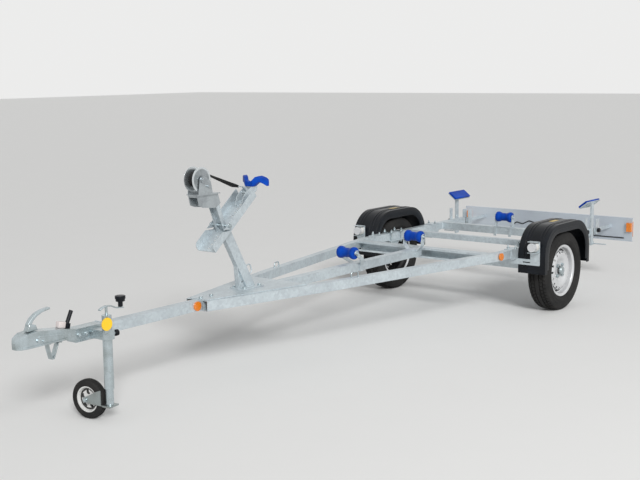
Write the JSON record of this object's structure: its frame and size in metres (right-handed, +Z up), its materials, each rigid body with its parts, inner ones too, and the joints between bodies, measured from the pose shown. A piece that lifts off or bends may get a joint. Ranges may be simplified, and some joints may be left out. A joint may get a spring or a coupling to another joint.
{
  "type": "boat trailer",
  "caption": "Unbraked boat trailer with bent tubular side beams, keel rollers, tilted hull pads, winch mast, bow stop, jockey wheel and rear light board.",
  "frame": {"origin": "on the ground under the centre of the overall box, with both road wheels and the jockey wheel on it", "axes": "+X to the front towards the coupling, +Y to the left, +Z up"},
  "size_m": [5.351, 1.612, 1.194],
  "materials": {
    "galvanised": "hot-dip galvanised, mottled matt",
    "zinc_plate": "bright zinc plated",
    "winch_grey": "satin grey zinc",
    "black_plastic": "grained moulding",
    "black_tyre": "matt rubber",
    "silver_rim": "silver paint",
    "white_rim": "white plastic",
    "blue_rubber": "satin blue polymer",
    "black_steel": "black satin",
    "webbing": "woven strap",
    "white_lens": "clear over white",
    "red_lens": "ribbed lens",
    "amber_lens": "reflector lens",
    "yellow_lens": "round reflector lens",
    "grey_plastic": "light grey plug body"
  },
  "bodies": {
    "frame": {"axle_beam": "galvanised", "axle_clamps": "zinc_plate", "beam_end_caps": "black_plastic", "board_bars": "galvanised", "board_clamps": "galvanised", "bow_arm": "galvanised", "bow_stop_block": "blue_rubber", "bow_stop_bracket": "galvanised", "clamp_knobs": "black_plastic", "coupling_head": "zinc_plate", "coupling_lever": "zinc_plate", "cross_pieces": "galvanised", "drawbar": "galvanised", "front_marker_lamps": "white_lens", "front_reflector": "yellow_lens", "gusset_plates": "galvanised", "jockey_clamp": "zinc_plate", "jockey_crank": "zinc_plate", "jockey_knobs": "black_plastic", "jockey_outer_tube": "zinc_plate", "lamp_cable": "black_plastic", "light_board": "galvanised", "light_plug": "grey_plastic", "mast_bolts": "zinc_plate", "mast_lower": "galvanised", "mudguard_carriers": "galvanised", "mudguards": "black_plastic", "pad_supports": "galvanised", "plug_holder": "black_plastic", "rear_lamps": "red_lens", "reflectors": "amber_lens", "roller_brackets": "galvanised", "safety_loop": "zinc_plate", "side_beams": "galvanised", "side_marker_lamps": "amber_lens", "side_pads": "blue_rubber", "strap_hook": "zinc_plate", "tie_down_eyes": "zinc_plate", "trailing_arms": "galvanised", "upper_mast": "galvanised", "winch_frame": "winch_grey", "winch_strap": "webbing"},
    "wheel_left": {"hub_left": "black_steel", "rim_left": "silver_rim", "tyre_left": "black_tyre"},
    "wheel_right": {"hub_right": "black_steel", "rim_right": "silver_rim", "tyre_right": "black_tyre"},
    "jockey_leg": {"jockey_inner_tube": "zinc_plate"},
    "jockey_swivel": {"jockey_fork": "zinc_plate"},
    "jockey_wheel": {"jockey_rim": "white_rim", "jockey_tyre": "black_tyre"},
    "roller_front": {"keel_roller_front": "blue_rubber"},
    "roller_middle": {"keel_roller_middle": "blue_rubber"},
    "roller_rear": {"keel_roller_rear": "blue_rubber"},
    "strap_drum": {"winch_drum": "winch_grey", "strap_roll": "webbing"}
  },
  "joints": [
    {"name": "wheel_left_spin", "type": "hinge", "parent": "frame", "child": "wheel_left", "pos_m": [-1.4005, 0.704, 0.2805], "axis": [0, 1, 0], "continuous": true},
    {"name": "wheel_right_spin", "type": "hinge", "parent": "frame", "child": "wheel_right", "pos_m": [-1.4005, -0.704, 0.2805], "axis": [0, 1, 0], "continuous": true},
    {"name": "jockey_leg_slide", "type": "slide", "parent": "frame", "child": "jockey_leg", "axis": [0, 0, 1], "range_m": [-0.18, 0.075]},
    {"name": "jockey_swivel", "type": "hinge", "parent": "jockey_leg", "child": "jockey_swivel", "pos_m": [2.2205, 0.127, 0.086], "axis": [0, 0, 1], "continuous": true},
    {"name": "jockey_wheel_spin", "type": "hinge", "parent": "jockey_swivel", "child": "jockey_wheel", "pos_m": [2.23852, -0.00124, 0.1], "axis": [0.9903, 0.1392, 0], "continuous": true},
    {"name": "roller_front_spin", "type": "hinge", "parent": "frame", "child": "roller_front", "pos_m": [0.0995, 0, 0.543], "axis": [0, 1, 0], "continuous": true},
    {"name": "roller_middle_spin", "type": "hinge", "parent": "frame", "child": "roller_middle", "pos_m": [-0.6705, 0, 0.553], "axis": [0, 1, 0], "continuous": true},
    {"name": "roller_rear_spin", "type": "hinge", "parent": "frame", "child": "roller_rear", "pos_m": [-1.9405, 0, 0.546], "axis": [0, 1, 0], "continuous": true},
    {"name": "strap_drum_spin", "type": "hinge", "parent": "frame", "child": "strap_drum", "pos_m": [1.4495, 0, 1.125], "axis": [0, 1, 0], "continuous": true}
  ]
}
